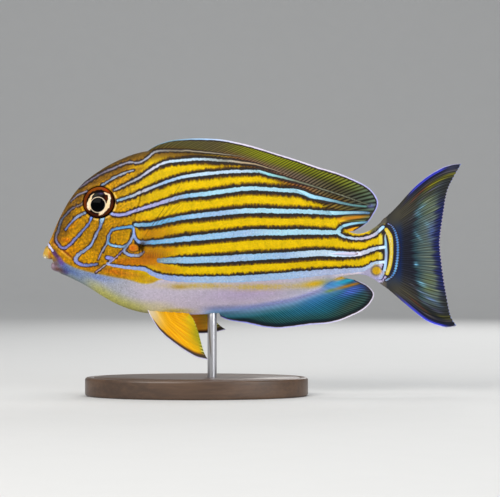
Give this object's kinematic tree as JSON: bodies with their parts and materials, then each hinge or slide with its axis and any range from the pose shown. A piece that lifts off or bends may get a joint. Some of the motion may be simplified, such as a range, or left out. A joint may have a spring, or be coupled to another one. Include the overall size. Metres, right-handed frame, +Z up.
{
  "type": "lined surgeonfish",
  "caption": "Still life-size model of a lined surgeonfish, swimming level, held by a slim rod on a flat oval display base.",
  "frame": {"origin": "on the floor, under the centre of the model's bounding box", "axes": "+Z up, -X towards the snout, +X towards the tail, -Y towards the fish's left side; the body's midplane is Y = 0"},
  "size_m": [0.18, 0.056, 0.1108],
  "materials": {
    "striped_skin": "moist skin with fine scales: yellow, striped in blue edged with black, lilac below",
    "lips": "smooth moist skin",
    "eye": "clear, wet and glossy",
    "tail_spine": "polished bone",
    "dorsal_fin": "thin ribbed membrane, olive with a pale blue margin",
    "anal_fin": "thin ribbed membrane, teal with a pale blue margin",
    "caudal_fin": "thin ribbed membrane, dark grey-blue with yellow and blue bars",
    "pectoral_fin": "thin clear ribbed membrane with rusty rays",
    "pelvic_fin": "thin ribbed membrane, orange-yellow with a pale edge",
    "stand_base": "dark satin wood",
    "stand_rod": "brushed steel"
  },
  "bodies": {
    "root": {"head": "striped_skin", "trunk": "striped_skin", "tail_stock": "striped_skin", "upper_lip": "lips", "lower_lip": "lips", "eye_left": "eye", "eye_right": "eye", "tail_spine_left": "tail_spine", "tail_spine_right": "tail_spine", "dorsal_fin": "dorsal_fin", "anal_fin": "anal_fin", "caudal_fin": "caudal_fin", "pectoral_fin_left": "pectoral_fin", "pectoral_fin_right": "pectoral_fin", "pelvic_fin_left": "pelvic_fin", "pelvic_fin_right": "pelvic_fin", "stand_base": "stand_base", "stand_rod": "stand_rod"}
  },
  "joints": []
}
